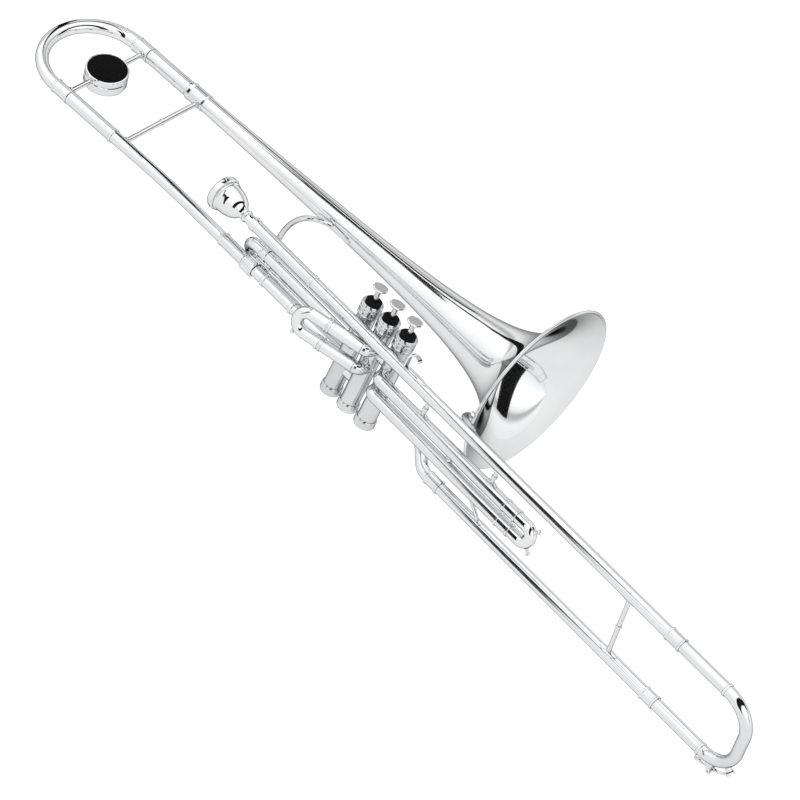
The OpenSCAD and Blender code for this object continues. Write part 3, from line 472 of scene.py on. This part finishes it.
def lathe(name, profile, material, at=bell_point, segments=BELL_SEGMENTS):
    """Closed surface turned about an axis from (x, radius) pairs; at places a point round that axis."""
    verts = []
    for x, r in profile:
        for k in range(segments):
            a = 2 * math.pi * k / segments
            verts.append(at(x, r * math.cos(a), r * math.sin(a)))
    n = len(profile)
    faces = [(i * segments + k, i * segments + (k + 1) % segments,
              (i + 1) % n * segments + (k + 1) % segments, (i + 1) % n * segments + k)
             for i in range(n) for k in range(segments)]
    return finished(mesh_object(name, verts, faces, material))


def finished(obj):
    obj.data.set_sharp_from_angle(angle=math.radians(40))
    return obj


def flare(d):
    """Radius of the bell at a depth behind its mouth."""
    return INSIDE_BOX * RIM_R * (FLARE_LEN / (d + FLARE_LEN)) ** FLARE_POWER


def make_bell():
    """Bell with its rings crowded towards the mouth, and the wire round its rim."""
    lip = 0.0008
    crowding = 2.4
    tail = RIM_X - TAIL_X
    depths = [lip + (tail - lip) * (k / BELL_RINGS) ** crowding for k in range(BELL_RINGS + 1)]
    outside = [(RIM_X - d, flare(d)) for d in depths]
    inside = []
    for d in reversed(depths):
        slope = -FLARE_POWER * flare(d) / (d + FLARE_LEN)
        n = math.hypot(1, slope)
        inside.append((RIM_X - d - BELL_WALL * slope / n, flare(d) - BELL_WALL / n))
    bell = lathe("bell_smooth", outside + inside, BELL_SILVER)
    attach(bell, "horn")
    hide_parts("bell_flare", "bell_throat", "bell_tail")
    turns = [2 * math.pi * k / WIRE_STEPS for k in range(WIRE_STEPS)]
    wire = [(RIM_X - RIM_WIRE + INSIDE_BOX * RIM_WIRE * math.cos(a),
             INSIDE_BOX * (RIM_R - RIM_WIRE + RIM_WIRE * math.sin(a))) for a in turns]
    rim = lathe("bell_rim_smooth", wire, MATERIALS["bright_silver"])
    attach(rim, "horn")
    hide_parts("bell_rim")


def make_mouthpiece():
    """Bowl, bead, rim, cup and shank as one outline, measured back from the rim's face."""
    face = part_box("mouthpiece_crown")[0].x
    shank_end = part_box("mouthpiece_shank")[1].x
    rim_round, crown = 0.0056, 0.0139
    bowl = rounded([(0.0395, 0.0061), (0.0365, 0.0080), (0.0330, 0.0114), (0.0280, 0.0140), (0.0225, 0.0156),
                    (0.0165, 0.0164), (0.0135, 0.0167)])
    bead = rounded([(0.0127, 0.0177), (0.0116, 0.0179), (0.0104, 0.0176), (0.0098, 0.0169)], 4)
    rim = [(rim_round * (1 - math.sin(math.radians(a))), crown + rim_round * math.cos(math.radians(a)))
           for a in range(0, 91, 6)]
    cup = rounded([(0.0014, 0.01275), (0.0080, 0.0124), (0.0160, 0.0110), (0.0240, 0.0080), (0.0295, 0.0046),
                   (0.0325, 0.0032)])
    shank = [(0.0540, 0.00595), (0.0490, 0.0055), (0.0460, 0.0056), (0.0454, 0.0066), (0.0442, 0.0070),
             (0.0430, 0.0066), (0.0422, 0.0059)]
    profile = bowl + bead + [(0.0092, 0.0187), (0.0086, 0.0195)] + rim + cup
    profile = [(face + x, INSIDE_BOX * r) for x, r in profile]
    profile += [(shank_end, 0.0044), (shank_end, 0.0052)] + [(face + x, r) for x, r in shank]
    mouthpiece = lathe("mouthpiece_smooth", profile, MATERIALS["bright_silver"],
                       lead_point, MOUTHPIECE_SEGMENTS)
    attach(mouthpiece, "mouthpiece_body")
    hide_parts("mouthpiece_crown", "mouthpiece_bowl", "mouthpiece_shank")


def make_tuning_slide():
    """Legs and bow in one sweep that widens from the neck's leg to the bell's leg."""
    half = BELL_PITCH / 2
    path = [(NECK_END_X, -BELL_PITCH, NECK_LEG_R)]
    for i in range(BOW_STEPS + 1):
        a = math.pi * i / BOW_STEPS
        path.append((TUNING_X - half * math.sin(a), -half - half * math.cos(a),
                     NECK_LEG_R + (BELL_LEG_R - NECK_LEG_R) * i / BOW_STEPS))
    path.append((BELL_END_X, 0.0, BELL_LEG_R))
    n = BOW_SIDES
    verts = []
    for i, (x, across, r) in enumerate(path):
        turn = math.pi * min(max(i - 1, 0), BOW_STEPS) / BOW_STEPS
        for k in range(n):
            b = 2 * math.pi * k / n
            out = BOW_INSIDE * r * math.cos(b)
            verts.append(bell_point(x - out * math.sin(turn), across - out * math.cos(turn),
                                    r * math.sin(b)))
    faces = [(i * n + k, i * n + (k + 1) % n, (i + 1) * n + (k + 1) % n, (i + 1) * n + k)
             for i in range(len(path) - 1) for k in range(n)]
    faces += [tuple(reversed(range(n))), tuple((len(path) - 1) * n + k for k in range(n))]
    slide = finished(mesh_object("tuning_slide_smooth", verts, faces, MATERIALS["bright_silver"]))
    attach(slide, "tuning_slide_body")
    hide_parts("tuning_slide")


def dress_cad_nodes():
    slots = {s["node"]: s["material_slot"] for s in record["subparts"]}
    for name, obj in nodes.items():
        obj.data.materials.clear()
        obj.data.materials.append(MATERIALS[slots[name]])


make_camera()
make_world()
make_floor()
make_cards()
dress_cad_nodes()
make_bell()
make_mouthpiece()
make_tuning_slide()
bpy.context.scene.view_settings.view_transform = "Standard"
